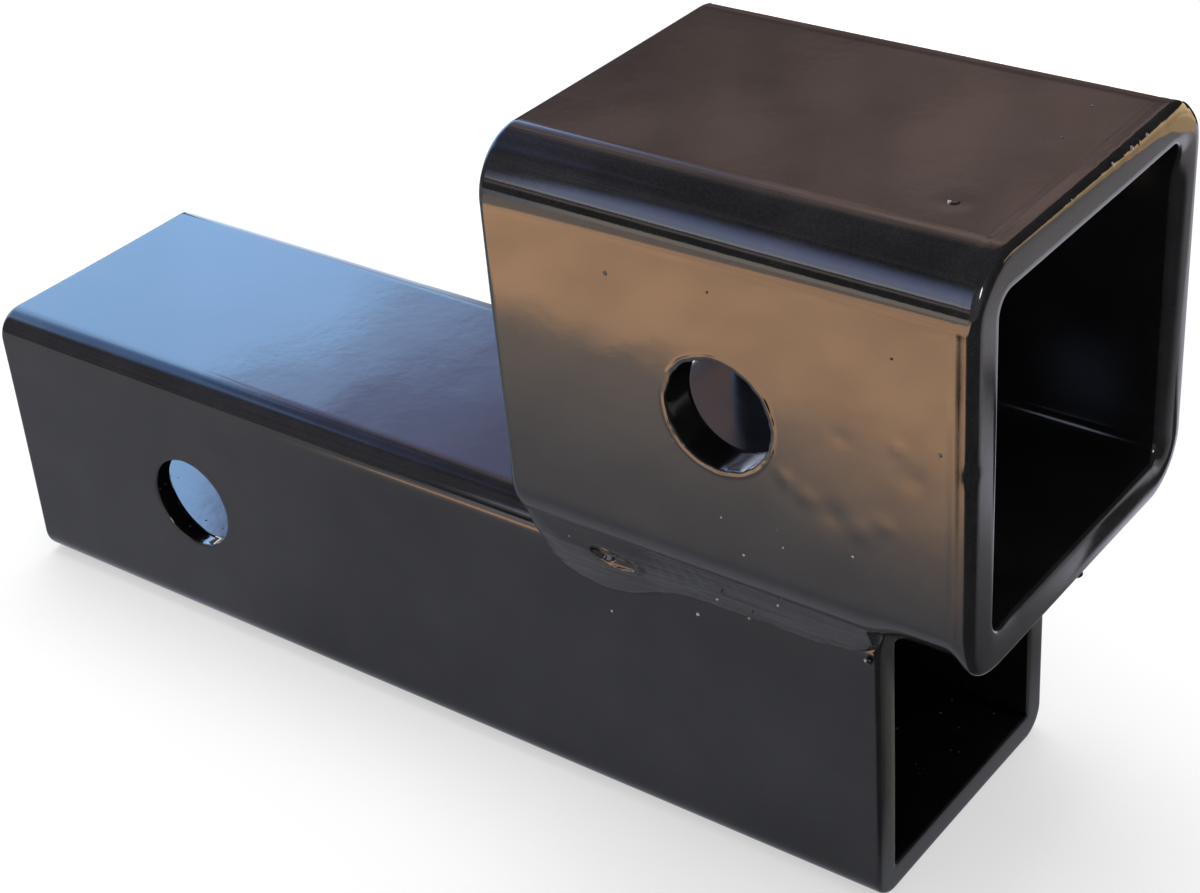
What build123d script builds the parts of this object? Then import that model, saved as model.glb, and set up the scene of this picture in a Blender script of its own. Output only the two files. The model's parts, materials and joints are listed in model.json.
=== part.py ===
from build123d import *
import os
from math import cos, pi, radians, sin, sqrt

os.makedirs("parts", exist_ok=True)

# A hitch receiver extender, welded from two square steel tubes. The shank slides into a
# vehicle's receiver and is held by a cross pin. The receiver tube lies on top of the shank's
# other end, overhangs it, and takes the next shank further back and one tube higher.
# Millimetres. +X runs along the shank towards the receiver's mouth and +Z is up. The origin
# is the centre of the shank's pin hole.

# Shank tube
shank_width = 50.8
shank_wall = 4.76
shank_corner = 4.8
shank_length = 181.0
shank_pin_inset = 43.0

# Receiver tube, whose opening takes a shank of the same size as the one below
socket_clearance = 0.7
receiver_wall = 6.0
receiver_corner = 9.0
receiver_length = 77.2
receiver_overhang = 17.8
receiver_pin_inset = 38.75

# Hitch pin that crosses each tube
pin_diameter = 15.88
pin_clearance = 0.8

# Broken edges of the saw cuts and of the receiver's pin holes, and the least radius that a
# bore's corners keep when its wall is as thick as the tube's own corner
end_edge_break = 0.8
hole_edge_break = 0.5
least_bore_corner = 1.0

# Side weld: a bead in the flared groove between the tubes. It starts broad at the receiver's
# rear end, settles to a slimmer run and thins out before the shank's front end. Its legs are
# measured down the shank's side from the seam.
weld_end_gap = 1.0
weld_tip_leg = 2.4
weld_start_leg = 9.6
weld_run_leg = 5.6
weld_rise_length = 12.0
weld_settle_length = 17.0
weld_tail_length = 10.0
weld_crown = 1.1
weld_upper_toe_angle = 44.0
weld_root_opening = 0.5
weld_toe_sink = 0.35

# Ripples that the moving arc leaves across the bead, each drawn in a few steps
ripple_pitch = 4.2
ripple_height = 0.3
ripple_steps = 3

# Crater: the long shallow pit in the broad start of the weld on the right side
crater_inset = 14.5
crater_drop = 2.0
crater_length = 9.0
crater_width = 3.6
crater_depth = 1.0
crater_tilt = 12.0

# Places that follow from the sizes
receiver_bore = shank_width + socket_clearance
receiver_width = receiver_bore + 2 * receiver_wall
receiver_bore_corner = max(receiver_corner - receiver_wall, least_bore_corner)
shank_bore = shank_width - 2 * shank_wall
shank_bore_corner = max(shank_corner - shank_wall, least_bore_corner)
pin_hole_radius = (pin_diameter + pin_clearance) / 2
shank_rear = -shank_pin_inset
shank_front = shank_rear + shank_length
seam_z = shank_width / 2
mouth = shank_front + receiver_overhang
receiver_rear = mouth - receiver_length
receiver_pin_x = mouth - receiver_pin_inset
receiver_axis_z = seam_z + receiver_width / 2
weld_rear = receiver_rear + weld_end_gap
weld_length = shank_front - weld_end_gap - weld_rear


with BuildPart() as shank_tube:
    with BuildSketch(Plane.YZ.offset(shank_rear)):
        RectangleRounded(shank_width, shank_width, shank_corner)
        RectangleRounded(shank_bore, shank_bore, shank_bore_corner, mode=Mode.SUBTRACT)
    extrude(amount=shank_length)
    end_edges = shank_tube.edges().group_by(Axis.X)
    chamfer(end_edges[0] + end_edges[-1], end_edge_break)
    with Locations(Plane.XZ.offset(shank_width / 2)):
        Hole(pin_hole_radius)


with BuildPart() as receiver_tube:
    with BuildSketch(Plane.YZ.offset(receiver_rear)):
        with Locations((0, receiver_axis_z)):
            RectangleRounded(receiver_width, receiver_width, receiver_corner)
            RectangleRounded(receiver_bore, receiver_bore, receiver_bore_corner, mode=Mode.SUBTRACT)
    extrude(amount=receiver_length)
    end_edges = receiver_tube.edges().group_by(Axis.X)
    chamfer(end_edges[0] + end_edges[-1], end_edge_break)
    with Locations(Plane.XZ.offset(receiver_width / 2)):
        with Locations((receiver_pin_x, receiver_axis_z)):
            Hole(pin_hole_radius)
    side_faces = receiver_tube.faces().filter_by(Axis.Y).sort_by(Axis.Y)
    hole_rims = side_faces[0].inner_wires() + side_faces[-1].inner_wires()
    chamfer(hole_rims.edges(), hole_edge_break)


def share(run, start, length):
    """How much of the stretch that begins at start a point on the run has passed, 0 to 1."""
    return min(max((run - start) / length, 0.0), 1.0)


def weld_leg(run):
    """Leg of the bead on the shank's side: a rounded start, then a run, then a thin tail."""
    rise = sqrt(1 - (1 - share(run, 0, weld_rise_length)) ** 2)
    settle = (1 - cos(pi * share(run, weld_rise_length, weld_settle_length))) / 2
    tail = share(run, weld_length - weld_tail_length, weld_tail_length) ** 2
    leg = weld_tip_leg + (weld_start_leg - weld_tip_leg) * rise
    leg -= (weld_start_leg - weld_run_leg) * settle
    return leg - (weld_run_leg - weld_tip_leg) * tail


def weld_toes(leg):
    """Upper toe on the receiver's corner and lower toe on the shank's side, as (y, z)."""
    angle = radians(weld_upper_toe_angle)
    reach = receiver_corner - weld_toe_sink
    upper_y = receiver_corner - receiver_width / 2 - reach * sin(angle)
    upper_z = seam_z + receiver_corner - reach * cos(angle)
    return (upper_y, upper_z), (weld_toe_sink - shank_width / 2, seam_z - leg)


def weld_face_point(leg, crown, height):
    """Point of the bead's face at a share of the height from its lower to its upper toe."""
    upper, lower = weld_toes(leg)
    rise_y = upper[0] - lower[0]
    rise_z = upper[1] - lower[1]
    bulge = 4 * crown * height * (1 - height) / sqrt(rise_y**2 + rise_z**2)
    return (lower[0] + rise_y * height - rise_z * bulge, lower[1] + rise_z * height + rise_y * bulge)


# The root of the bead: a narrow face where the groove between the tubes closes
groove_depth = sqrt(2 * shank_corner * weld_root_opening - weld_root_opening**2)
root_y = shank_corner - shank_width / 2 - groove_depth
root_points = ((root_y, seam_z - weld_root_opening - weld_toe_sink), (root_y, seam_z + weld_toe_sink))
ripples = max(round(weld_length / ripple_pitch), 1)
stations = ripples * ripple_steps

with BuildPart() as plain_bead:
    for station in range(stations + 1):
        run = weld_length * station / stations
        ripple = ripple_height * abs(sin(pi * station / ripple_steps))
        leg = weld_leg(run) + ripple
        crown = weld_crown * leg / weld_start_leg + ripple
        upper_toe, lower_toe = weld_toes(leg)
        with BuildSketch(Plane.YZ.offset(weld_rear + run)):
            with BuildLine():
                Polyline(lower_toe, *root_points, upper_toe)
                ThreePointArc(upper_toe, weld_face_point(leg, crown, 0.5), lower_toe)
            make_face()
    loft(ruled=True)
    with BuildSketch(Plane.YZ.offset(shank_rear)):
        RectangleRounded(shank_width, shank_width, shank_corner)
    extrude(amount=shank_length, mode=Mode.SUBTRACT)
    with BuildSketch(Plane.YZ.offset(receiver_rear)):
        with Locations((0, receiver_axis_z)):
            RectangleRounded(receiver_width, receiver_width, receiver_corner)
    extrude(amount=receiver_length, mode=Mode.SUBTRACT)


# The crater lies on the bead's face, its long axis tipped down towards the front
crater_leg = weld_leg(crater_inset)
crater_crown = weld_crown * crater_leg / weld_start_leg
crater_upper, crater_lower = weld_toes(crater_leg)
crater_rise_y = crater_upper[0] - crater_lower[0]
crater_rise_z = crater_upper[1] - crater_lower[1]
crater_height = (seam_z - crater_drop - crater_lower[1]) / crater_rise_z
crater_y, crater_z = weld_face_point(crater_leg, crater_crown, crater_height)
crater_face = Plane(
    origin=(weld_rear + crater_inset, crater_y, crater_z),
    x_dir=(1, 0, 0),
    z_dir=(0, -crater_rise_z, crater_rise_y),
)
crater_plane = crater_face.offset(crater_width / 2 - crater_depth).rotated((0, 0, -crater_tilt))

with BuildPart() as right_weld_bead:
    add(plain_bead.part)
    with BuildSketch(crater_plane):
        Ellipse(crater_length / 2, crater_width / 2)
        Rectangle(crater_length, crater_width, align=(Align.CENTER, Align.MAX), mode=Mode.SUBTRACT)
    revolve(axis=Axis(crater_plane.origin, crater_plane.x_dir), mode=Mode.SUBTRACT)

with BuildPart() as left_weld_bead:
    mirror(plain_bead.part, about=Plane.XZ)


shank_tube.part.label = "shank_tube"
export_step(shank_tube.part, "parts/shank_tube.step")

receiver_tube.part.label = "receiver_tube"
export_step(receiver_tube.part, "parts/receiver_tube.step")

right_weld_bead.part.label = "right_weld_bead"
export_step(right_weld_bead.part, "parts/right_weld_bead.step")

left_weld_bead.part.label = "left_weld_bead"
export_step(left_weld_bead.part, "parts/left_weld_bead.step")
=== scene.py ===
"""Hitch receiver extender: two welded square tubes in gloss black paint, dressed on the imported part."""

import json
from math import cos, pi, radians, sin

import bmesh
import bpy
import numpy as np
from bpy.props import FloatProperty, FloatVectorProperty, PointerProperty
from bpy.types import Operator, Panel, PropertyGroup
from mathutils import Matrix, Vector, noise


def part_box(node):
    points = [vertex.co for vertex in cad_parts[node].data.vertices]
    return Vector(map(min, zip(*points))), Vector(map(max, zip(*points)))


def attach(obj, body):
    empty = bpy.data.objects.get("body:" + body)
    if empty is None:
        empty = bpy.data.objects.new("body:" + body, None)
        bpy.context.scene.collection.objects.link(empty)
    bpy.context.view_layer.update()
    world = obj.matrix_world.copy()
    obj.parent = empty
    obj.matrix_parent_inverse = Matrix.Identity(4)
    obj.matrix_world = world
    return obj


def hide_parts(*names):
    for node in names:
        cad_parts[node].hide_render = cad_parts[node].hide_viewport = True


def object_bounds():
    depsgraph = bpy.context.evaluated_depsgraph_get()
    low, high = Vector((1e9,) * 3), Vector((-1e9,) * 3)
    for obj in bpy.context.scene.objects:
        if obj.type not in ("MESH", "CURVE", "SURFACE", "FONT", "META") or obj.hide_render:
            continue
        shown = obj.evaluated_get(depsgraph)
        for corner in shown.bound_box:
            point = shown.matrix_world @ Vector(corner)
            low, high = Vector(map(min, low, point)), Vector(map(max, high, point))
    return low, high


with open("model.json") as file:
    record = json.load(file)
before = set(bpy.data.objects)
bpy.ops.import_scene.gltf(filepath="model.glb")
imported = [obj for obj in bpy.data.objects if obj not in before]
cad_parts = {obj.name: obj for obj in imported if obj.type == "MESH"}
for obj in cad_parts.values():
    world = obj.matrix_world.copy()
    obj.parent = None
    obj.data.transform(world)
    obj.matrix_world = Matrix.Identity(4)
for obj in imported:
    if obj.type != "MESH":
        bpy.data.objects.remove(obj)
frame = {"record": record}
cad_low, cad_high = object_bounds()

bl_info = {
    "name": "Hitch receiver extender",
    "version": (1, 0, 0),
    "blender": (4, 5, 0),
    "location": "View3D > Sidebar > Extender",
    "description": "Builds the painted tubes, the weld beads and the studio of a hitch receiver extender",
    "category": "Add Mesh",
}

MM = 0.001
RIGHT, TOP, LEFT, BOTTOM = range(4)


def length(name, description, millimetres):
    """A length property whose default is given in millimetres."""
    return FloatProperty(name=name, description=description, default=millimetres * MM, unit="LENGTH")


def colour(name, description, default):
    """A colour property."""
    return FloatVectorProperty(name=name, description=description, default=default, subtype="COLOR")


class ShankSettings(PropertyGroup):
    """Sizes of the shank tube's skin"""

    wall: length("Wall", "Thickness of the shank's steel", 4.76)
    corner: length("Corner", "Outer radius of the shank's corners", 4.8)
    skin_depth: length("Skin depth", "How far the skin lies inside the tube's full size", 0.04)
    dish: length("Dish", "How far a face sinks at its middle", 0.08)
    wave: length("Wave", "How far the steel's skin wanders", 0.05)
    front_round: length("Front rounding", "Radius of the front cut's outer edge", 0.8)
    rear_round: length("Rear rounding", "Radius of the rear cut's outer edge", 0.7)
    front_bore_round: length("Front bore rounding", "Radius of the bore's front edge", 0.45)
    rear_bore_round: length("Rear bore rounding", "Radius of the bore's rear edge", 0.4)
    rim_width: length("Rim width", "Width of the pin hole's rim", 1.6)
    rim_raise: length("Rim raise", "Height of the pin hole's rim", 0.02)
    rim_round: length("Rim rounding", "Radius of the pin hole's edge", 0.35)
    hole_flare: length("Hole flare", "How far the pin hole widens towards the bore", 1.6)


class ReceiverSettings(PropertyGroup):
    """Sizes of the receiver tube's skin"""

    wall: length("Wall", "Thickness of the receiver's steel", 6.0)
    corner: length("Corner", "Outer radius of the receiver's corners", 9.0)
    skin_depth: length("Skin depth", "How far the skin lies inside the tube's full size", 0.12)
    dish: length("Dish", "How far a face sinks at its middle", 0.06)
    wave: length("Wave", "How far the steel's skin wanders", 0.06)
    front_round: length("Mouth rounding", "Radius of the mouth's outer edge", 1.1)
    top_round: length("Mouth top rounding", "How far back the mouth's top edge is rounded", 1.5)
    top_stretch: FloatProperty(
        name="Mouth top stretch",
        description="How much deeper than far back the mouth's top edge is rounded towards the left",
        default=0.9,
    )
    rear_round: length("Rear rounding", "Radius of the rear cut's outer edge", 0.8)
    rear_low_round: length("Rear low rounding", "Radius of the rear cut's outer edge low on the sides", 2.4)
    front_bore_round: length("Mouth bore rounding", "Radius of the bore's edge at the mouth", 0.5)
    far_fall: length("Left wall fall", "How far the mouth's left wall falls back at the bore", 1.2)
    low_fall: length("Lower wall fall", "How far the mouth's lower wall falls back at the bore", 0.55)
    rear_bore_round: length("Rear bore rounding", "Radius of the bore's rear edge", 2.6)
    rim_width: length("Rim width", "Width of the pin hole's raised rim", 1.1)
    rim_raise: length("Rim raise", "Height of the pin hole's raised rim", 0.07)
    rim_round: length("Rim rounding", "Radius of the pin hole's edge", 0.3)
    hole_flare: length("Hole flare", "How far the pin hole widens towards the bore", 0.15)
    lip: length("Lip", "Height of the slight ridge behind the mouth", 0.03)
    corner_pull: length("Corner pull", "How far the lower right corner draws in before the mouth", 0.9)
    corner_flare: length("Corner flare", "How far that corner flares out again at the mouth", 0.7)


class WeldSettings(PropertyGroup):
    """Sizes of the two weld beads"""

    tip_leg: length("Tip leg", "Leg of the bead where it starts", 2.4)
    start_leg: length("Start leg", "Leg of the bead at its broad start", 9.9)
    run_leg: length("Run leg", "Leg of the bead along its run", 5.7)
    tail_leg: length("Tail leg", "Leg of the bead where it ends", 4.0)
    start_crown: length("Start crown", "Bulge of the bead at its broad start", 1.25)
    run_crown: length("Run crown", "Bulge of the bead along its run", 0.7)
    upper_toe: FloatProperty(
        name="Upper toe",
        description="How far round the receiver's corner the bead reaches",
        default=radians(44.0),
        subtype="ANGLE",
    )
    ripple_height: length("Ripple height", "Height of the faint ripples", 0.045)
    lump_height: length("Lump height", "Height of the bead's soft lumps", 0.10)
    crater_length: length("Crater length", "Length of the pit in the right bead's start", 8.8)
    crater_width: length("Crater width", "Width of that pit", 3.2)
    crater_depth: length("Crater depth", "Depth of that pit's gentle part", 0.42)


class PaintSettings(PropertyGroup):
    """Finish of the paint"""

    paint: colour("Paint", "Colour of the paint", (0.010, 0.010, 0.011))
    dust: colour("Dust", "Colour of the settled dust", (0.20, 0.17, 0.14))
    # The pale worn-edge colour stands for paint rubbed thin and also for painted highlights: a pale line on the bore's
    # edge and pale spatter drops in place of glints.
    worn_edge: colour("Wear and highlight", "Colour of the paint that is rubbed thin on an edge", (0.45, 0.45, 0.46))
    roughness: FloatProperty(
        name="Roughness", description="Roughness of the glossy film", default=0.06, subtype="FACTOR"
    )


class StageSettings(PropertyGroup):
    """Camera, floor and lights"""

    camera_place: FloatVectorProperty(
        name="Camera place",
        description="Where the camera stands",
        default=(0.276204, -0.254727, 0.225784),
        subtype="TRANSLATION",
    )
    camera_turn: FloatVectorProperty(
        name="Camera turn",
        description="How the camera is turned",
        default=(radians(57.8016), radians(3.8740), radians(36.3654)),
        subtype="EULER",
    )
    lens: FloatProperty(name="Lens", description="Focal length", default=72.285, unit="CAMERA")
    floor: colour("Floor", "Colour of the floor", (0.90, 0.90, 0.895))
    sky_light: FloatProperty(name="Surrounding light", description="Strength of the world", default=0.80)
    lamp_power: FloatProperty(
        name="Lamp power", description="Power of the overhead lamp", default=16.0, unit="POWER"
    )


def mount(name):
    """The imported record's mount of that name."""
    return next(entry for entry in frame["record"]["mounts"] if entry["name"] == name)


def spaced(start, end, step):
    """Places from start to end, about a step apart."""
    return np.linspace(start, end, max(round(abs(end - start) / step), 1) + 1)


def passed(values, start, end):
    """How far each value has come from start to end, 0 to 1."""
    return np.clip((values - start) / (end - start), 0.0, 1.0)


def eased(values, start, end):
    """The same, with a soft beginning and end."""
    share = passed(values, start, end)
    return share * share * (3 - 2 * share)


def noise_at(places, seed):
    """Smooth noise from about -1 to 1 at each place."""
    return np.array([noise.noise(Vector((*place, seed))) for place in places])


class TubeSkin:
    """A square tube with rounded corners and a pin hole through both sides, as points on its skin.

    A point has a place along the tube, a place across one of its faces and a depth below the outside.
    """

    hole_cells = 32
    corner_steps = 24
    edge_steps = 6
    square_margin = 4.2 * MM
    face_step = 0.8 * MM
    bore_step = 4.0 * MM
    end_zone = 6.0 * MM
    end_step = 0.4 * MM

    def __init__(self, node, bore, settings, along_step):
        low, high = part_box(node)
        self.settings = settings
        self.rear, self.front = low.x, high.x
        self.middle = (low + high) / 2
        self.half = (high.y - low.y) / 2 - settings.skin_depth
        self.wall, self.corner = settings.wall, settings.corner
        self.flat = self.half - self.corner
        self.hole_x = bore["pos_m"][0]
        self.hole_radius = bore["dims"]["r_mm"] * MM
        self.square = self.hole_radius + self.square_margin
        self.along_step = along_step
        self.vertices, self.worn, self.faces, self.inside = [], [], [], []

    def side_axes(self, side):
        """Outward and sideways directions of a face, as (y, z)."""
        turn = pi - side * pi / 2
        return np.array((cos(turn), sin(turn))), np.array((sin(turn), -cos(turn)))

    def lines_about(self, start, end, middle, step):
        """Places from start to end that hold the pin hole's square round the middle."""
        square = np.linspace(middle - self.square, middle + self.square, self.hole_cells + 1)
        before = spaced(start, square[0], step)[:-1]
        after = spaced(square[-1], end, step)[1:]
        return np.concatenate((before, square, after))

    def outside_lines(self):
        """Places along the outside, closer together towards both ends."""
        start, end = self.rear + self.settings.rear_round, self.front - self.settings.front_round
        rear_zone = spaced(start, start + self.end_zone, self.end_step)
        front_zone = spaced(end - self.end_zone, end, self.end_step)
        between = self.lines_about(rear_zone[-1], front_zone[0], self.hole_x, self.along_step)
        return np.concatenate((rear_zone[:-1], between, front_zone[1:]))

    def face_points(self, side, along, across, depth):
        """Points on a face, which is dished towards its middle."""
        outward, sideways = self.side_axes(side)
        rise = self.half - depth - self.settings.dish * (1 - (across / self.flat) ** 2)
        place = np.outer(rise, outward) + np.outer(across, sideways)
        return np.column_stack((along, self.middle.y + place[:, 0], self.middle.z + place[:, 1]))

    def ring_points(self, along, depth):
        """One closed ring of points round the tube, each face followed by its corner."""
        across = self.lines_about(-self.flat, self.flat, 0.0, self.face_step)
        angles = np.linspace(0, pi / 2, self.corner_steps + 1)[1:-1]
        points = []
        for side in (RIGHT, TOP, LEFT, BOTTOM):
            points.append(self.face_points(side, np.full(len(across), along), across, np.full(len(across), depth)))
            outward, sideways = self.side_axes(side)
            arc = np.outer(np.cos(angles), outward) + np.outer(np.sin(angles), sideways)
            place = (outward + sideways) * self.flat + arc * max(self.corner - depth, 0.2 * MM)
            points.append(
                np.column_stack(
                    (np.full(len(place), along), self.middle.y + place[:, 0], self.middle.z + place[:, 1])
                )
            )
        return np.concatenate(points)

    def end_turn(self, end, direction, outer_round, inner_round):
        """(along, depth, pale mark) over an end: the outer edge's rounding, the cut face and the bore's edge, whose
        middle steps are marked for rubbed paint and a painted highlight.
        """
        turns = np.linspace(0, pi / 2, self.edge_steps + 1)
        stations = []
        for turn in turns:
            stations.append((end - direction * outer_round * (1 - sin(turn)), outer_round * (1 - cos(turn)), 0.0))
        for depth in spaced(outer_round, self.wall - inner_round, self.face_step)[1:-1]:
            stations.append((end, depth, 0.0))
        for step, turn in enumerate(turns):
            along = end - direction * inner_round * (1 - cos(turn))
            # Steps 2 and 3 of the bore's edge are marked pale: rubbed paint and a painted highlight line.
            stations.append((along, self.wall - inner_round * (1 - sin(turn)), float(step in (2, 3))))
        return stations

    def add_grid(self, rings, worn, keep, inside):
        """Adds closed rings of points, joined each to the next by quads where keep allows."""
        first = sum(len(block) for block in self.vertices)
        count, size = len(rings), len(rings[0])
        self.vertices.append(np.concatenate(rings))
        self.worn.append(np.concatenate(worn))
        for ring in range(count if keep.shape[0] == count else count - 1):
            for corner in range(size):
                if keep[ring, corner]:
                    here, there = first + ring * size, first + (ring + 1) % count * size
                    onward = (corner + 1) % size
                    self.faces.append((here + corner, here + onward, there + onward, there + corner))
                    self.inside.append(inside[ring])

    def add_body(self):
        """The tube's outside, ends and bore, with the squares round the pin holes left open."""
        given = self.settings
        bore = self.lines_about(
            self.rear + given.rear_bore_round, self.front - given.front_bore_round, self.hole_x, self.bore_step
        )
        stations = [(along, 0.0, 0.0) for along in self.outside_lines()[1:-1]]
        stations += self.end_turn(self.front, 1, given.front_round, given.front_bore_round)
        stations += [(along, self.wall, 0.0) for along in bore[-2:0:-1]]
        stations += self.end_turn(self.rear, -1, given.rear_round, given.rear_bore_round)[::-1]
        rings = [self.ring_points(along, depth) for along, depth, worn in stations]
        across = self.lines_about(-self.flat, self.flat, 0.0, self.face_step)
        side_size = len(across) + self.corner_steps - 1
        in_square = np.zeros(4 * side_size, bool)
        middles = (across[:-1] + across[1:]) / 2
        for side in (RIGHT, LEFT):
            in_square[side * side_size : side * side_size + len(middles)] = np.abs(middles) < self.square
        right_face = np.arange(4 * side_size) < len(across)
        keep = np.ones((len(stations), 4 * side_size), bool)
        inside = []
        for index, (along, depth, worn) in enumerate(stations):
            onward, next_depth = stations[(index + 1) % len(stations)][:2]
            inside.append(min(depth, next_depth) == self.wall)
            if depth == next_depth and abs((along + onward) / 2 - self.hole_x) < self.square:
                keep[index] = ~in_square
        # The pale marks are kept to the right side, the side that faces the camera.
        self.add_grid(rings, [worn * right_face for along, depth, worn in stations], keep, inside)

    def add_hole(self, side, seed):
        """A pin hole's square, rim and wall, through to the bore."""
        given = self.settings
        steps = np.linspace(-1, 1, self.hole_cells + 1)[:-1]
        ones = np.ones(self.hole_cells)
        edges = ((steps, -ones), (ones, steps), (-steps, ones), (-ones, -steps))
        square = self.square * np.concatenate([np.column_stack(edge) for edge in edges])
        turns = -3 * pi / 4 + 2 * pi * np.arange(len(square)) / len(square)
        circle = np.column_stack((np.cos(turns), np.sin(turns)))
        ragged = noise_at(circle * 2.6, seed)
        burr = eased(circle[:, 0], 0.2, 0.9) * noise_at(circle * 9.0, seed)
        chips = 3.0 * given.rim_raise * noise_at(circle * 7.0, seed + 7)
        flat_radius = self.hole_radius + given.rim_round + given.rim_width
        rings = []

        def add_ring(plane, depth):
            rings.append(self.face_points(side, self.hole_x + plane[:, 0], plane[:, 1], depth))

        for share in np.linspace(0, 1, 9):
            add_ring(square * (1 - share) + circle * flat_radius * share, np.zeros(len(square)))
        for share in np.linspace(0, 1, 9)[1:]:
            crest = sin(pi * share**1.6) ** 2 * given.rim_raise * (1 + 0.5 * ragged + 0.8 * burr)
            radius = flat_radius - given.rim_width * share + chips * share
            add_ring(circle * radius[:, None], -crest)
        for turn in np.linspace(0, pi / 2, self.edge_steps + 1)[1:]:
            radius = self.hole_radius + given.rim_round * (1 - sin(turn)) + chips
            add_ring(circle * radius[:, None], np.full(len(square), given.rim_round * (1 - cos(turn))))
        for depth in spaced(given.rim_round, self.wall - given.hole_flare, self.face_step)[1:]:
            radius = self.hole_radius + chips * max(1 - depth / (2 * MM), 0)
            add_ring(circle * radius[:, None], np.full(len(square), depth))
        for share in np.linspace(0, 1, 7):
            plane = circle * (self.hole_radius + given.hole_flare) * (1 - share) + square * share
            add_ring(plane, np.full(len(square), self.wall))
        joins, outer = len(rings) - 1, 16 + self.edge_steps
        inside = [join >= outer for join in range(joins)]
        self.add_grid(rings, [np.zeros(len(square))] * len(rings), np.ones((joins, len(square)), bool), inside)

    def mesh(self):
        """The tube as one closed bmesh, whose bore faces take the second material."""
        self.add_body()
        self.add_hole(RIGHT, 1.3)
        self.add_hole(LEFT, 4.1)
        made = bpy.data.meshes.new("tube_skin")
        made.from_pydata(np.concatenate(self.vertices).tolist(), [], self.faces)
        made.polygons.foreach_set("material_index", np.array(self.inside, np.int32))
        made.attributes.new("worn_edge", "FLOAT", "POINT").data.foreach_set("value", np.concatenate(self.worn))
        skin = bmesh.new()
        skin.from_mesh(made)
        bpy.data.meshes.remove(made)
        bmesh.ops.remove_doubles(skin, verts=skin.verts, dist=0.002 * MM)
        bmesh.ops.recalc_face_normals(skin, faces=skin.faces)
        return skin

    def on_face(self, side, along, across):
        """A point on the outside of a face."""
        return Vector(self.face_points(side, np.array([along]), np.array([across]), np.zeros(1))[0])

    def outward(self, places):
        """Directions away from the tube's middle block, and how far off it each place is."""
        across = places[:, 1:] - np.array((self.middle.y, self.middle.z))
        away = across - np.clip(across, -self.flat, self.flat)
        distance = np.linalg.norm(away, axis=1)
        directions = away / np.maximum(distance, 1e-9)[:, None]
        return np.column_stack((np.zeros(len(places)), directions)), distance


def move_points(skin, find_moves):
    """Moves a skin's points by what a function finds for their places."""
    places = np.array([vertex.co for vertex in skin.verts])
    for vertex, move in zip(skin.verts, find_moves(places)):
        vertex.co += Vector(move)


def dent(places, centre, size, push):
    """Moves round a place by the push, less and less towards the size."""
    away = np.linalg.norm(places - np.array(centre), axis=1) / size
    return np.outer(np.exp(-(away**2)), push)


def wander(skin, amount, size, seed):
    """Sinks the skin by up to the amount, in slow waves of about the size."""
    skin.normal_update()
    shift = Vector((seed, seed, seed))
    sunk = [amount * (noise.noise(vertex.co / size + shift) - 1) / 2 for vertex in skin.verts]
    for vertex, depth in zip(skin.verts, sunk):
        vertex.co += vertex.normal * depth


def add_drop(skin, place, outward, radius, rise, painted_glint=0.0):
    """A drop of spatter: a lumpy ball whose top stands the rise above the skin, made pale by its last argument as a
    painted glint.
    """
    outward = Vector(outward).normalized()
    turn = outward.to_track_quat("Z", "Y").to_matrix().to_4x4()
    squash = 0.8 if rise > radius / 2 else 0.5
    centre = Vector(place) + outward * (rise - radius * squash)
    matrix = Matrix.Translation(centre) @ turn @ Matrix.Diagonal((1.0, 1.0, squash, 1.0))
    worn = skin.verts.layers.float.get("worn_edge") or skin.verts.layers.float.new("worn_edge")
    made = bmesh.ops.create_icosphere(skin, subdivisions=3, radius=radius, matrix=matrix)
    for vertex in made["verts"]:
        vertex[worn] = painted_glint
        sideways = vertex.co - centre
        sideways -= outward * sideways.dot(outward)
        vertex.co += sideways * 0.35 * noise.noise(vertex.co / radius + centre / MM)


def add_piece(name, skin, materials, node):
    """Turns a bmesh into a smooth piece that stands for a node."""
    made = bpy.data.meshes.new(name)
    skin.to_mesh(made)
    skin.free()
    made.shade_smooth()
    for material in materials:
        made.materials.append(material)
    piece = bpy.data.objects.new(name, made)
    bpy.context.scene.collection.objects.link(piece)
    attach(piece, "root")
    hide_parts(node)
    return piece


def add_node(tree, kind, inputs=None, **settings):
    """A new node with its settings and its inputs' values."""
    made = tree.nodes.new(kind)
    for name, value in settings.items():
        setattr(made, name, value)
    for name, value in (inputs or {}).items():
        made.inputs[name].default_value = value
    return made


def add_maths(tree, operation, first, second):
    """A Math node of two values, each a socket or a number."""
    made = add_node(tree, "ShaderNodeMath", operation=operation)
    for index, value in enumerate((first, second)):
        if isinstance(value, bpy.types.NodeSocket):
            tree.links.new(value, made.inputs[index])
        else:
            made.inputs[index].default_value = value
    return made.outputs[0]


def add_range(tree, value, low, high, to_low=0.0, to_high=1.0):
    """A value mapped smoothly from one range to another."""
    made = add_node(
        tree,
        "ShaderNodeMapRange",
        {"From Min": low, "From Max": high, "To Min": to_low, "To Max": to_high},
        interpolation_type="SMOOTHSTEP",
    )
    tree.links.new(value, made.inputs["Value"])
    return made.outputs["Result"]


def add_mix(tree, factor, first, second, blend="MIX"):
    """A mix of two colours, each a socket or a colour, by a factor that is a socket or a number."""
    made = add_node(tree, "ShaderNodeMix", data_type="RGBA", blend_type=blend)
    factor_socket, first_socket, second_socket = made.inputs[0], made.inputs[6], made.inputs[7]
    if isinstance(factor, bpy.types.NodeSocket):
        tree.links.new(factor, factor_socket)
    else:
        factor_socket.default_value = factor
    for value, socket in ((first, first_socket), (second, second_socket)):
        if isinstance(value, bpy.types.NodeSocket):
            tree.links.new(value, socket)
        else:
            socket.default_value = (*value, 1.0)
    return made.outputs[2]


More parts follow.
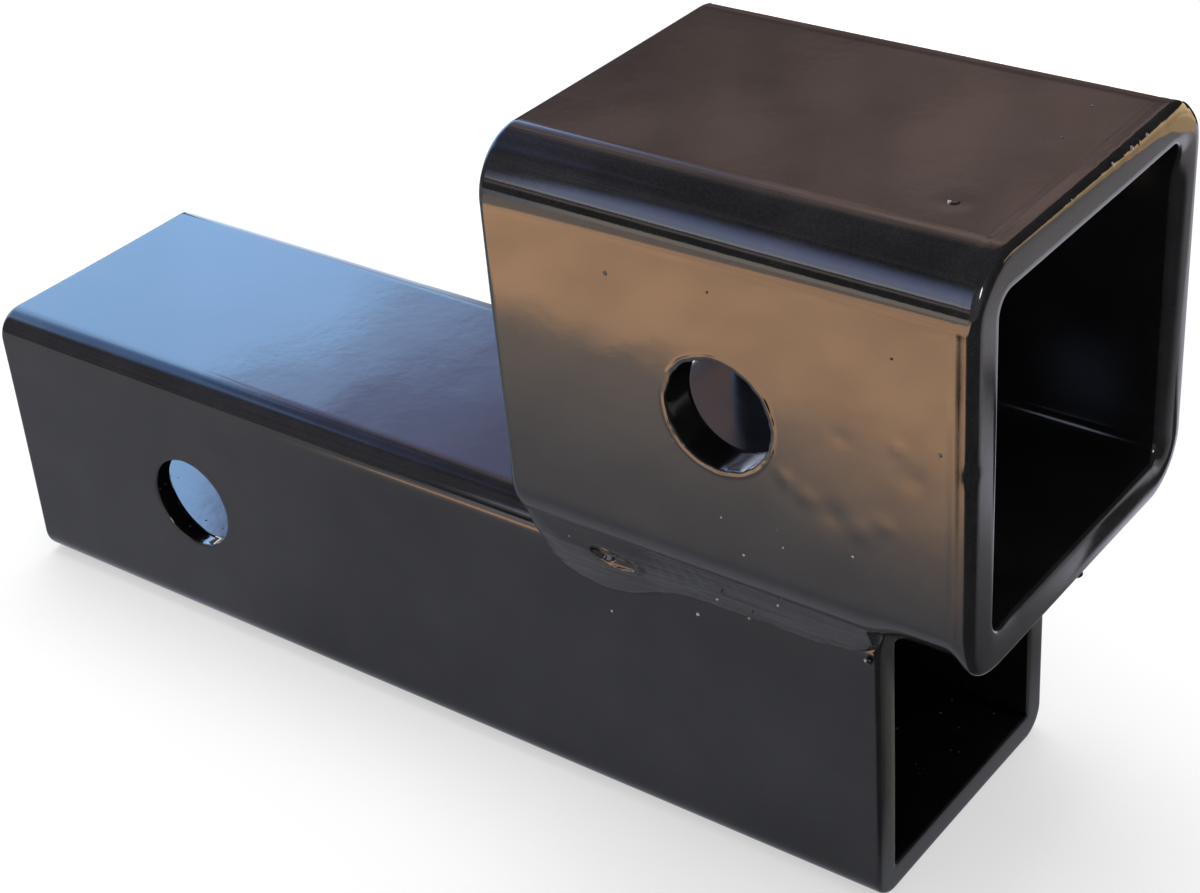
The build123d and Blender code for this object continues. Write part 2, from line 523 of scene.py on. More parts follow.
def add_ramp(tree, value, stops):
    """Colours that follow a value from stop to stop."""
    first, last = stops[0][0], stops[-1][0]
    share = add_maths(tree, "DIVIDE", add_maths(tree, "SUBTRACT", value, first), last - first)
    made = add_node(tree, "ShaderNodeValToRGB")
    elements = made.color_ramp.elements
    elements[0].color, elements[1].color = (*stops[0][1], 1.0), (*stops[-1][1], 1.0)
    for place, shade in stops[1:-1]:
        elements.new((place - first) / (last - first)).color = (*shade, 1.0)
    tree.links.new(share, made.inputs["Fac"])
    return made.outputs["Color"]


def add_curve(tree, value, stops):
    """Greys that follow a value from stop to stop."""
    return add_ramp(tree, value, [(place, (level,) * 3) for place, level in stops])


def tinted(tree, shade, tint):
    """A colour multiplied by another."""
    return add_mix(tree, 1.0, shade, tint, "MULTIPLY")


def all_of(tree, first, *others):
    """The product of several masks."""
    for other in others:
        first = add_maths(tree, "MULTIPLY", first, other)
    return first


def new_group(name, inputs, outputs):
    """A shader node group with float inputs and their defaults, and float outputs."""
    group = bpy.data.node_groups.new(name, "ShaderNodeTree")
    for label, default in inputs.items():
        group.interface.new_socket(label, in_out="INPUT", socket_type="NodeSocketFloat").default_value = default
    for label in outputs:
        group.interface.new_socket(label, in_out="OUTPUT", socket_type="NodeSocketFloat")
    return group, group.nodes.new("NodeGroupInput"), group.nodes.new("NodeGroupOutput")


def paint_film_group():
    """Height of the sprayed film in millimetres, from slow waves, orange peel and grain, and its haze."""
    if "paint_film" in bpy.data.node_groups:
        return bpy.data.node_groups["paint_film"]
    group, given, result = new_group(
        "paint_film",
        {"Wave Height": 0.02, "Peel Height": 0.003, "Grain Height": 0.0006},
        ("Height", "Haze", "Grain"),
    )
    place = add_node(group, "ShaderNodeTexCoord").outputs["Object"]
    total = None
    for label, scale, detail in (("Wave", 60.0, 1.0), ("Peel", 420.0, 1.0), ("Grain", 2400.0, 2.0)):
        texture = add_node(group, "ShaderNodeTexNoise", {"Scale": scale, "Detail": detail})
        group.links.new(place, texture.inputs["Vector"])
        part = add_maths(group, "MULTIPLY", texture.outputs["Fac"], given.outputs[label + " Height"])
        total = part if total is None else add_maths(group, "ADD", total, part)
    group.links.new(texture.outputs["Fac"], result.inputs["Grain"])
    group.links.new(total, result.inputs["Height"])
    haze = add_node(group, "ShaderNodeTexNoise", {"Scale": 90.0, "Detail": 4.0, "Roughness": 0.6})
    group.links.new(place, haze.inputs["Vector"])
    group.links.new(haze.outputs["Fac"], result.inputs["Haze"])
    return group


def dust_specks_group():
    """Mask of dust specks and nibs caught in the paint, and their height."""
    if "dust_specks" in bpy.data.node_groups:
        return bpy.data.node_groups["dust_specks"]
    group, given, result = new_group("dust_specks", {"Scale": 300.0, "Amount": 0.06}, ("Mask", "Height"))
    place = add_node(group, "ShaderNodeTexCoord").outputs["Object"]
    cells = add_node(group, "ShaderNodeTexVoronoi", feature="F1")
    group.links.new(place, cells.inputs["Vector"])
    group.links.new(given.outputs["Scale"], cells.inputs["Scale"])
    chance = add_node(group, "ShaderNodeSeparateColor")
    group.links.new(cells.outputs["Color"], chance.inputs["Color"])
    chosen = add_maths(group, "LESS_THAN", chance.outputs["Red"], given.outputs["Amount"])
    size = add_maths(group, "MULTIPLY", chance.outputs["Green"], 0.22)
    inner = add_maths(group, "SUBTRACT", size, cells.outputs["Distance"])
    mask = add_maths(group, "MULTIPLY", add_range(group, inner, 0.0, 0.06), chosen)
    group.links.new(mask, result.inputs["Mask"])
    group.links.new(add_maths(group, "MULTIPLY", mask, 0.05), result.inputs["Height"])
    return group


def worn_edge_group():
    """Mask of the pale marks, rubbed-thin paint and painted highlights on edges and drops, broken up along their
    length.
    """
    if "worn_edge" in bpy.data.node_groups:
        return bpy.data.node_groups["worn_edge"]
    group, given, result = new_group("worn_edge", {"Amount": 0.8}, ("Mask",))
    marked = add_node(group, "ShaderNodeAttribute", attribute_name="worn_edge")
    broken = add_node(group, "ShaderNodeTexNoise", {"Scale": 260.0, "Detail": 3.0})
    group.links.new(add_node(group, "ShaderNodeTexCoord").outputs["Object"], broken.inputs["Vector"])
    share = add_range(group, broken.outputs["Fac"], 0.30, 0.60, 0.35, 1.0)
    wear_highlight_mask = all_of(group, marked.outputs["Fac"], share, given.outputs["Amount"])
    group.links.new(wear_highlight_mask, result.inputs["Mask"])
    return group


def paint_material(name, film, speck, dust_share, dullness=1.0, depth=1.0, shine=0.5):
    """Gloss black paint over steel, with its film, specks, a trace of dust, and pale marks of rubbed paint and painted
    highlights.

    The dullness, the depth and the shine set its roughness, its colour and how strongly it reflects; a depth below 1
    darkens the colour as painted shade.
    """
    if name in bpy.data.materials:
        return bpy.data.materials[name]
    settings = bpy.context.scene.extender_paint
    roughness = settings.roughness * dullness
    material = bpy.data.materials.new(name)
    material.use_nodes = True
    tree = material.node_tree
    shader = tree.nodes["Principled BSDF"]
    film_node = add_node(tree, "ShaderNodeGroup", node_tree=paint_film_group())
    speck_node = add_node(tree, "ShaderNodeGroup", node_tree=dust_specks_group())
    wear_highlight_node = add_node(tree, "ShaderNodeGroup", node_tree=worn_edge_group())
    for node, values in ((film_node, film), (speck_node, speck)):
        for label, value in values.items():
            node.inputs[label].default_value = value
    dust = add_maths(tree, "MULTIPLY", speck_node.outputs["Mask"], dust_share)
    hazed = add_range(tree, film_node.outputs["Haze"], 0.35, 0.75)
    # A depth below 1 gives a darker copy of the paint, painted shade for the bores.
    paint = Vector(settings.paint) * depth
    warmed = add_mix(tree, hazed, paint, paint * 1.5)
    grain = add_range(tree, film_node.outputs["Grain"], 0.35, 0.65, 0.85, 1.15)
    dusted = add_mix(tree, dust, tinted(tree, warmed, grain), settings.dust)
    shader.inputs["Specular IOR Level"].default_value = shine
    # The pale colour goes where the mask marks rubbed paint and painted highlights.
    tree.links.new(add_mix(tree, wear_highlight_node.outputs["Mask"], dusted, settings.worn_edge), shader.inputs["Base Color"])
    gloss = add_range(tree, film_node.outputs["Haze"], 0.3, 0.8, roughness * 0.8, roughness * 1.3)
    matt = add_maths(tree, "MULTIPLY", speck_node.outputs["Mask"], 0.6)
    tree.links.new(add_maths(tree, "ADD", gloss, matt), shader.inputs["Roughness"])
    bump = add_node(tree, "ShaderNodeBump", {"Strength": 1.0, "Distance": MM})
    height = add_maths(tree, "ADD", film_node.outputs["Height"], speck_node.outputs["Height"])
    tree.links.new(height, bump.inputs["Height"])
    tree.links.new(bump.outputs["Normal"], shader.inputs["Normal"])
    return material


def tube_paint():
    """Paint of the tubes' outsides."""
    return paint_material(
        "gloss_black_tube_paint",
        {"Wave Height": 0.03, "Peel Height": 0.005, "Grain Height": 0.0018},
        {"Scale": 420.0, "Amount": 0.004},
        dust_share=0.25,
    )


def shank_bore_paint():
    """Thinner, glossy paint inside the shank, with dirt caught in it, its colour darkened as painted shade."""
    return paint_material(
        "thin_black_shank_bore_paint_with_painted_shade",
        {"Wave Height": 0.03, "Peel Height": 0.006, "Grain Height": 0.002},
        {"Scale": 700.0, "Amount": 0.35},
        dust_share=0.04,
        dullness=1.5,
        depth=0.3,
        shine=0.62,
    )


def socket_paint():
    """Thinner, duller paint inside the receiver, its colour darkened as painted shade."""
    return paint_material(
        "dull_black_socket_paint_with_painted_shade",
        {"Wave Height": 0.03, "Peel Height": 0.008, "Grain Height": 0.002},
        {"Scale": 500.0, "Amount": 0.003},
        dust_share=0.04,
        dullness=2.6,
        depth=0.4,
        shine=0.40,
    )


def weld_paint():
    """Paint over the weld metal, which keeps more of the metal's grain."""
    return paint_material(
        "gloss_black_weld_paint",
        {"Wave Height": 0.03, "Peel Height": 0.008, "Grain Height": 0.001},
        {"Scale": 500.0, "Amount": 0.0},
        dust_share=0.2,
    )


class EXTENDER_OT_shank_tube(Operator):
    """Builds the shank tube's painted skin over its node"""

    bl_idname = "extender.shank_tube"
    bl_label = "Build shank tube"

    # Spatter on the right side, as its place along the tube, its height and its radius; each drop is made fully pale,
    # a painted glint
    side_spatter = ((91.5, 11.5, 0.22), (107.5, 17.0, 0.28))

    def execute(self, context):
        settings = context.scene.extender_shank
        tube = TubeSkin("shank_tube", mount("shank_pin_bore"), settings, 1.5 * MM)
        skin = tube.mesh()
        wander(skin, settings.wave, 24 * MM, 3.0)
        for along, height, radius in self.side_spatter:
            add_drop(skin, tube.on_face(RIGHT, along * MM, height * MM), (0, -1, 0), radius * MM, 0.1 * MM, 1.0)
        add_piece("shank_tube_skin", skin, (tube_paint(), shank_bore_paint()), "shank_tube")
        return {"FINISHED"}


class EXTENDER_OT_receiver_tube(Operator):
    """Builds the receiver tube's painted skin over its node"""

    bl_idname = "extender.receiver_tube"
    bl_label = "Build receiver tube"

    # Spatter on the right side, as its place along the tube, its height, its radius and how pale its painted glint is
    side_spatter = (
        (120.5, 36.0, 0.22, 1.0),
        (127.0, 39.5, 0.18, 0.9),
        (138.0, 42.0, 0.20, 0.9),
        (117.0, 41.0, 0.18, 0.8),
        (151.0, 62.0, 0.35, 0.3),
        (144.0, 74.0, 0.22, 0.0),
        (116.5, 76.0, 0.20, 0.0),
    )
    # Soft swellings of the right side, as their places along the tube, their heights and their sizes
    side_swells = (
        (136.5, 60.0, 1.0),
        (145.0, 61.0, 0.9),
        (131.0, 49.0, 1.4),
        (135.0, 47.5, 1.6),
        (139.5, 46.5, 1.8),
        (142.5, 48.5, 1.5),
        (147.0, 57.0, 2.0),
        (127.5, 51.0, 1.2),
    )
    # Spatter on the top, as its place along the tube, its place across it, its radius and how pale its painted glint
    # is
    top_spatter = (
        (144.0, -16.0, 1.0, 0.0),
        (143.4, -16.2, 0.34, 1.0),
        (147.0, 7.0, 0.16, 0.3),
        (146.0, 17.5, 0.16, 0.3),
    )
    # How far the right side swells or sinks, and how far the top sinks under its largest lump
    swell_rise = 0.055 * MM
    lump_seat = 0.03 * MM
    # Where the ridge lies behind the mouth, how wide it is and how deep the outside reaches
    ridge_place = 2.9 * MM
    ridge_width = 0.55 * MM
    outside_depth = 1.5 * MM
    # Burrs along the mouth's top edge, by their places across it
    edge_burrs = (-17.5, -12.5, -10.5, -7.0, 1.0, 4.5, 7.5, 10.0, 12.0, 14.5)

    def execute(self, context):
        settings = context.scene.extender_receiver
        self.tube = TubeSkin("receiver_tube", mount("receiver_pin_bore"), settings, 0.9 * MM)
        skin = self.tube.mesh()
        move_points(skin, self.mouth_moves)
        wander(skin, settings.wave, 20 * MM, 8.0)
        self.add_spatter(skin)
        add_piece("receiver_tube_skin", skin, (tube_paint(), socket_paint()), "receiver_tube")
        return {"FINISHED"}

    def mouth_moves(self, places):
        """Moves of the skin: rounder cut edges, falling mouth walls, a ridge, one bent corner and marked faces."""
        tube = self.tube
        outward, distance = tube.outward(places)
        behind, depth = tube.front - places[:, 0], tube.corner - distance
        moves = self.cut_edges(places, outward, behind, depth)
        moves[:, 0] -= self.wall_falls(places, outward, behind, depth)
        on_outside = distance > tube.corner - self.outside_depth
        rise = self.ridge_rise(places, behind) + self.corner_rise(outward, behind)
        return moves + outward * (on_outside * rise)[:, None] + self.face_marks(places)

    def cut_edges(self, places, outward, behind, depth):
        """Moves that round the mouth's edge, most along its top, and the rear edge low on the sides."""
        tube, given = self.tube, self.tube.settings
        top = eased(outward[:, 2], 0.3, 0.9)
        far_side = passed(places[:, 1], -tube.flat, tube.flat)
        ragged = 1 + 0.12 * noise_at(np.column_stack((places[:, 1] / (1.7 * MM), top)), 9.0)
        radius = given.front_round + (given.top_round * ragged - given.front_round) * top
        moves = self.rounder_edge(outward, behind, depth, radius, 1 + top * given.top_stretch * far_side)
        beside = np.abs(outward[:, 1]) > 0.7
        low = beside * eased(places[:, 2], tube.middle.z + tube.half, tube.middle.z - tube.half)
        wider = given.rear_round + (given.rear_low_round - given.rear_round) * low
        return moves - self.rounder_edge(outward, places[:, 0] - tube.rear, depth, wider, 1.0) * (1, -1, -1)

    def wall_falls(self, places, outward, behind, depth):
        """How far the mouth's left and lower walls fall back towards the bore, started past their corners."""
        tube, given = self.tube, self.tube.settings
        bore = tube.half - tube.wall
        below, across = places[:, 2] - tube.middle.z, places[:, 1] - tube.middle.y
        far_wall = eased(outward[:, 1], 0, 1) * eased(below, bore + 1 * MM, bore - 8 * MM)
        low_wall = eased(-outward[:, 2], 0, 1) * eased(across, -bore - 1 * MM, -bore + 8 * MM)
        inward = passed(depth, 1.4 * MM, tube.wall)
        fall = np.hypot(given.far_fall * far_wall * inward**2, given.low_fall * low_wall * inward**1.5)
        return fall * eased(behind, 3.5 * MM, 0.6 * MM) * (depth < tube.wall + 0.1 * MM)

    def ridge_rise(self, places, behind):
        """Height of the slight, uneven ridge behind the mouth."""
        uneven = 1 + 0.5 * noise_at(places[:, 1:] / (7 * MM), 2.0)
        off = (behind - self.ridge_place) / self.ridge_width
        return self.tube.settings.lip * np.exp(-(off**2)) * uneven

    def corner_rise(self, outward, behind):
        """How far the lower right corner draws in before the mouth and flares out again at it."""
        given = self.tube.settings
        turn = np.arctan2(-outward[:, 2], -outward[:, 1])
        in_corner = (outward[:, 1] < 0) & (outward[:, 2] < 0)
        bend = np.where(in_corner, np.sin(2 * turn) ** 2, 0.0)
        drawn = eased(behind, 18 * MM, 10 * MM) * eased(behind, 1.3 * MM, 5.0 * MM)
        flared = eased(behind, 4.0 * MM, 0.8 * MM)
        return bend * (given.corner_flare * flared - given.corner_pull * drawn)

    def face_marks(self, places):
        """The right side's swells, the seat of the top's largest lump and a nick in the mouth's edge."""
        tube = self.tube
        right = tube.middle.y - tube.half
        moves = np.zeros_like(places)
        for index, (along, height, size) in enumerate(self.side_swells):
            rise = self.swell_rise * (1 if index % 3 else -1)
            moves += dent(places, (along * MM, right, height * MM), size * MM, (0.0, -rise, 0.0))
        along, across = self.top_spatter[0][:2]
        moves += dent(places, tube.on_face(TOP, along * MM, across * MM), 2.2 * MM, (0.0, 0.0, -self.lump_seat))
        return moves + dent(places, (tube.front, right, 60.1 * MM), 0.8 * MM, (-0.4 * MM, 0.4 * MM, 0.0))

    def rounder_edge(self, outward, behind, depth, radius, stretch):
        """Moves that draw a cut's outer edge in from the end onto a rounding of a larger radius.

        The rounding reaches down the cut by the radius times the stretch.
        """
        across, along = radius - depth / stretch, radius - behind
        reach = np.hypot(across, along)
        outside = (across > 0) & (along > 0) & (reach > radius)
        pull = np.where(outside, 1 - radius / np.maximum(reach, 1e-9), 0.0)
        moves = -outward * (across * pull * stretch)[:, None]
        moves[:, 0] = -along * pull
        return moves

    def add_spatter(self, skin):
        """Spatter from the weld, burrs along the mouth's top edge and a paint nub below the mouth."""
        tube = self.tube
        for along, height, radius, painted_glint in self.side_spatter:
            place = tube.on_face(RIGHT, along * MM, height * MM - tube.middle.z)
            add_drop(skin, place, (0, -1, 0), radius * MM, 0.1 * MM, painted_glint)
        for along, across, radius, painted_glint in self.top_spatter:
            place = tube.on_face(TOP, along * MM, across * MM)
            add_drop(skin, place, (0, 0, 1), radius * MM, 0.14 * MM, painted_glint)
        # Every other burr is made half pale, a painted glint.
        for index, across in enumerate(self.edge_burrs):
            radius = (0.30 + 0.12 * (index % 3)) * MM
            place = tube.on_face(TOP, tube.front - 0.35 * MM, across * MM) - Vector((0, 0, 0.95 * MM))
            add_drop(skin, place, (1, 0, 0.5), radius, 0.12 * MM, 0.5 * (index % 2))
        nub = (tube.front - 0.9 * MM, 1.0 * MM, tube.middle.z - tube.half)
        add_drop(skin, nub, (0, 0, -1), 0.8 * MM, 0.55 * MM)


class WeldBead:
    """The bead in the groove between the tubes on the right side, as points on its face.

    A point on the face has a run along the weld and a drop down the face from the upper toe.
    """

    rise_length = 12.0 * MM
    settle_length = 17.0 * MM
    tail_length = 10.0 * MM
    toe_sink = 0.4 * MM
    end_reach = 0.9 * MM
    end_taper = 2.4 * MM
    along_step = 0.17 * MM
    face_steps = 64
    start_climb = radians(14.0)
    upper_flank = 6.0 * MM
    ripple_pitch = 2.4
    drag_height = 0.07 * MM
    crater_run = 15.5 * MM
    crater_drop = 4.5 * MM
    crater_tilt = radians(9.0)
    crater_rim = 0.34 * MM
    # Spots in the crater, as their places along and down it and their half sizes, in millimetres
    crater_hollow = (-1.5, -0.1, 2.3, 1.25)
    crater_bubble = (-1.2, -0.2, 1.3, 0.75)

    def __init__(self, scene, with_crater, seed):
        low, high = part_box("right_weld_bead")
        self.settings, self.with_crater, self.seed = scene.extender_weld, with_crater, seed
        self.rear, self.length = low.x, high.x - low.x
        shank, receiver = scene.extender_shank, scene.extender_receiver
        self.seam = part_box("shank_tube")[1].z
        self.shank_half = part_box("shank_tube")[1].y - shank.skin_depth
        self.receiver_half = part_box("receiver_tube")[1].y - receiver.skin_depth
        self.shank_corner, self.receiver_corner = shank.corner, receiver.corner
        self.runs = spaced(-self.end_reach, self.length + self.end_reach, self.along_step)

    def legs(self):
        """Legs of the bead down the shank's side: a rounded start, a run and a shorter tail."""
        given, runs = self.settings, self.runs
        rise = np.sqrt(1 - (1 - passed(runs, 0, self.rise_length)) ** 2)
        settle = eased(runs, self.rise_length, self.rise_length + self.settle_length)
        tail = passed(runs, self.length - self.tail_length, self.length) ** 2
        legs = given.tip_leg + (given.start_leg - given.tip_leg) * rise
        legs -= (given.start_leg - given.run_leg) * settle
        return legs - (given.run_leg - given.tail_leg) * tail

    def toes(self):
        """Upper toes on the receiver's corner and lower toes on the shank's side, as (y, z)."""
        runs = self.runs
        start = 1 - passed(runs, -self.end_reach, self.end_taper - self.end_reach)
        end = 1 - passed(runs, self.length + self.end_reach, self.length + self.end_reach - self.end_taper)
        opening, closing = np.sqrt(1 - start**2), np.sqrt(1 - end**2)
        wobble = noise_at(np.column_stack((runs / (5 * MM), runs * 0)), self.seed)
        legs = (self.legs() + 0.2 * MM * wobble) * opening * (0.6 + 0.4 * closing)
        angles = self.settings.upper_toe * (0.35 + 0.65 * opening) + radians(2.0) * wobble * opening
        angles += self.start_climb * (1 - passed(runs, 0, self.length)) * opening
        reach = self.receiver_corner - self.toe_sink
        upper_y = self.receiver_corner - self.receiver_half - reach * np.sin(angles)
        upper_z = self.seam + self.receiver_corner - reach * np.cos(angles)
        lower_y = np.full(len(runs), self.toe_sink - self.shank_half)
        return np.column_stack((upper_y, upper_z)), np.column_stack((lower_y, self.seam - legs))

    def relief(self, drops, chords):
        """Height of the face above the straight line between its toes, run by run."""
        given, runs = self.settings, self.runs
        flanks = np.interp(runs, (0, 14 * MM, 30 * MM), (2.6 * MM, 2.4 * MM, 1.5 * MM))
        start, run_on = given.start_crown, given.run_crown
        crowns = np.interp(
            runs,
            (0, 6 * MM, 14 * MM, 30 * MM, self.length),
            (0.7 * start, start, 0.9 * start, run_on, 0.8 * run_on),
        )
        ends = 0.3 + 0.7 * np.sqrt(1 - passed(runs, self.length - 1.5 * MM, self.length + self.end_reach) ** 2)
        heights = np.zeros_like(drops)
        for row, run in enumerate(runs):
            off_toe = np.hypot(runs[None, :] - run, chords[None, :] - drops[row][:, None]).min(axis=1)
            lower = np.sin(pi / 2 * passed(off_toe, 0, flanks[row]))
            upper = np.sin(pi / 2 * passed(drops[row], 0, self.upper_flank))
            places = np.column_stack((np.full(len(drops[row]), run), drops[row])) / MM
            lumps = given.lump_height * noise_at(places / (6.0, 3.5), self.seed + 2)
            bow = 0.12 * (drops[row] / MM - 4.5) ** 2
            faint = np.maximum(noise_at(places / (11.0, 5.0), self.seed + 5) + 0.3, 0)
            ripples = given.ripple_height * faint * np.sin(2 * pi * (run / MM + bow) / self.ripple_pitch)
            drags = self.drag_height * noise_at(places / (15.0, 0.6), self.seed + 12)
            heights[row] = lower * upper * ends[row] * (crowns[row] + lumps + ripples + drags)
        if self.with_crater:
            heights += self.crater(drops)
        return heights

    def dome(self, u, v, spot):
        """A dome of unit height over a spot of the crater."""
        place_u, place_v, half_u, half_v = np.array(spot) * MM
        off = np.hypot((u - place_u) / half_u, (v - place_v) / half_v)
        return np.sqrt(np.maximum(1 - off**2, 0))

    def crater(self, drops):
        """The long pit in the broad start: gentle at its front, hollow at its rear, with a bubble and a front rim."""
        given = self.settings
        along = self.runs[:, None] - self.crater_run
        down = drops - self.crater_drop
        u = along * cos(self.crater_tilt) + down * sin(self.crater_tilt)
        v = down * cos(self.crater_tilt) - along * sin(self.crater_tilt)
        half_length, half_width = given.crater_length / 2, given.crater_width / 2
        off = np.hypot(u / half_length, v / half_width)
        gentle = -given.crater_depth * np.maximum(1 - off**2, 0)
        hollow = -1.9 * given.crater_depth * self.dome(u, v, self.crater_hollow)
        bubble = 1.7 * given.crater_depth * self.dome(u, v, self.crater_bubble)
        facing = (0.9 * u / half_length + 0.43 * v / half_width) / np.maximum(off, 1e-6)
        rim = self.crater_rim * np.exp(-(((off - 1.1) / 0.16) ** 2)) * eased(facing, 0.0, 0.8)
        return gentle + hollow + bubble + rim

    def mesh(self):
        """The bead as one closed bmesh, which runs down into the groove at both ends."""
        upper, lower = self.toes()
        rises = upper - lower
        chords = np.linalg.norm(rises, axis=1)
        outward = np.column_stack((-rises[:, 1], rises[:, 0])) / chords[:, None]
        shares = np.linspace(0, 1, self.face_steps + 1)
        heights = self.relief(chords[:, None] * (1 - shares)[None, :], chords)
        root = np.array((self.shank_corner - self.shank_half, self.seam))
        skin = bmesh.new()
        rows = []
        for row, run in enumerate(self.runs):
            face = lower[row] + np.outer(shares, rises[row]) + np.outer(heights[row], outward[row])
            back = ((upper[row] + root) / 2, root, (lower[row] + root) / 2)
            rows.append([skin.verts.new((self.rear + run, *point)) for point in (*face, *back)])
        for row, onward in zip(rows[:-1], rows[1:]):
            for corner in range(len(row)):
                beside = (corner + 1) % len(row)
                skin.faces.new((row[corner], row[beside], onward[beside], onward[corner]))
        skin.faces.new(rows[0])
        skin.faces.new(rows[-1])
        bmesh.ops.recalc_face_normals(skin, faces=skin.faces)
        return skin


class EXTENDER_OT_weld_beads(Operator):
    """Builds the two weld beads over their nodes"""

    bl_idname = "extender.weld_beads"
    bl_label = "Build weld beads"

    # Spatter on the right bead, as its place, its radius, its rise and how pale its painted glint is
    right_spatter = (
        ((113.5, -28.6, 24.0), 0.2, 0.15, 1.0),
        ((88.0, -29.4, 26.5), 0.25, 0.2, 1.0),
        ((124.3, -29.3, 27.4), 0.2, 0.15, 1.0),
        ((118.0, -27.4, 21.6), 0.2, 0.15, 0.8),
        ((136.6, -25.4, 20.3), 0.62, 0.75, 0.0),
        ((136.4, -25.9, 20.5), 0.3, 0.32, 1.0),
    )

    def execute(self, context):
        right = WeldBead(context.scene, True, 3.0).mesh()
        left = WeldBead(context.scene, False, 11.0).mesh()
        bmesh.ops.scale(left, vec=(1, -1, 1), verts=left.verts)
        bmesh.ops.reverse_faces(left, faces=left.faces)
        for place, radius, rise, painted_glint in self.right_spatter:
            add_drop(right, Vector(place) * MM, (0, -0.9, -0.4), radius * MM, rise * MM, painted_glint)
        add_piece("right_weld_bead_skin", right, (weld_paint(),), "right_weld_bead")
        add_piece("left_weld_bead_skin", left, (weld_paint(),), "left_weld_bead")
        return {"FINISHED"}


def stage_material(name):
    """An empty material for the stage, with its tree and output."""
    material = bpy.data.materials.new(name)
    material.use_nodes = True
    tree = material.node_tree
    tree.nodes.clear()
    return material, tree, tree.nodes.new("ShaderNodeOutputMaterial")


def seen_rays(tree):
    """1 for rays that show a surface: the camera's, and those of gloss and glass."""
    path = add_node(tree, "ShaderNodeLightPath")
    shown = add_maths(tree, "MAXIMUM", path.outputs["Is Camera Ray"], path.outputs["Is Glossy Ray"])
    return add_maths(tree, "MAXIMUM", shown, path.outputs["Is Transmission Ray"])


def floor_material(shade):
    """Pale matt floor with a faint mottle, which keeps a soft shadow."""
    material, tree, output = stage_material("pale_floor")
    shader = add_node(tree, "ShaderNodeBsdfPrincipled", {"Roughness": 0.9, "Specular IOR Level": 0.1})
    mottle = add_node(tree, "ShaderNodeTexNoise", {"Scale": 3.0, "Detail": 3.0})
    tree.links.new(
        add_mix(tree, mottle.outputs["Fac"], shade, [channel * 0.98 for channel in shade]), shader.inputs["Base Color"]
    )
    glow = add_node(tree, "ShaderNodeEmission", {"Color": (1.0, 1.0, 1.0, 1.0)})
    blend = add_node(tree, "ShaderNodeMixShader")
    tree.links.new(add_maths(tree, "MULTIPLY", seen_rays(tree), 0.5), blend.inputs["Fac"])
    tree.links.new(shader.outputs["BSDF"], blend.inputs[1])
    tree.links.new(glow.outputs["Emission"], blend.inputs[2])
    tree.links.new(blend.outputs["Shader"], output.inputs["Surface"])
    return material


def card_material(name, find_glow):
    """A card's glow, from a function that gives its colour and how far it shows, if not everywhere."""
    material, tree, output = stage_material(name)
    shade, shown = find_glow(tree)
    glow = add_node(tree, "ShaderNodeEmission")
    tree.links.new(shade, glow.inputs["Color"])
    if shown is None:
        tree.links.new(glow.outputs["Emission"], output.inputs["Surface"])
        return material
    clear = add_node(tree, "ShaderNodeBsdfTransparent")
    blend = add_node(tree, "ShaderNodeMixShader")
    tree.links.new(shown, blend.inputs["Fac"])
    tree.links.new(clear.outputs["BSDF"], blend.inputs[1])
    tree.links.new(glow.outputs["Emission"], blend.inputs[2])
    tree.links.new(blend.outputs["Shader"], output.inputs["Surface"])
    return material


def soft_noise(tree, scale, detail):
    """Soft noise about zero over a card, stretched by its scale."""
    mapping = add_node(tree, "ShaderNodeMapping", {"Scale": scale})
    tree.links.new(add_node(tree, "ShaderNodeUVMap").outputs["UV"], mapping.inputs["Vector"])
    texture = add_node(tree, "ShaderNodeTexNoise", {"Scale": 1.0, "Detail": detail})
    tree.links.new(mapping.outputs["Vector"], texture.inputs["Vector"])
    return add_maths(tree, "SUBTRACT", texture.outputs["Fac"], 0.5)


class GlossPanel:
    """A curved panel round the object that only gloss sees; azimuth runs from +X towards +Y, in degrees."""

    columns, rows = 48, 24

    def __init__(self, name, azimuths, elevations, distance):
        self.name, self.azimuths, self.elevations, self.distance = name, azimuths, elevations, distance

    def angles(self, tree):
        """Azimuth and elevation of a place on the panel, from its own coordinates."""
        split = add_node(tree, "ShaderNodeSeparateXYZ")
        tree.links.new(add_node(tree, "ShaderNodeUVMap").outputs["UV"], split.inputs["Vector"])
        for share, (start, end) in ((split.outputs["X"], self.azimuths), (split.outputs["Y"], self.elevations)):
            yield add_maths(tree, "ADD", add_maths(tree, "MULTIPLY", share, end - start), start)

    def add(self, find_glow):
        """Builds the panel and its glow."""
        skin = bmesh.new()
        layer = skin.loops.layers.uv.new("UVMap")
        turns = np.radians(np.linspace(*self.azimuths, self.columns + 1))
        lifts = np.radians(np.linspace(*self.elevations, self.rows + 1))
        grid = [
            [skin.verts.new(Vector((cos(a) * cos(e), sin(a) * cos(e), sin(e))) * self.distance) for a in turns]
            for e in lifts
        ]
        for row in range(self.rows):
            for column in range(self.columns):
                shares = ((column, row), (column + 1, row), (column + 1, row + 1), (column, row + 1))
                face = skin.faces.new([grid[up][across] for across, up in shares])
                for loop, (across, up) in zip(face.loops, shares):
                    loop[layer].uv = (across / self.columns, up / self.rows)
        made = bpy.data.meshes.new(self.name)
        skin.to_mesh(made)
        skin.free()
        panel = add_stage_object(self.name, made, card_material(self.name + "_glow", find_glow))
        show_to_gloss_only(panel)


def add_stage_object(name, made, material):
    """Links a mesh to the scene as part of the stage."""
    made.materials.append(material)
    holder = bpy.data.objects.new(name, made)
    bpy.context.scene.collection.objects.link(holder)
    return holder


def show_to_gloss_only(card):
    """A card that only reflections see, and that casts no shadow."""
    card.visible_camera = card.visible_diffuse = card.visible_transmission = False
    card.visible_volume_scatter = card.visible_shadow = False


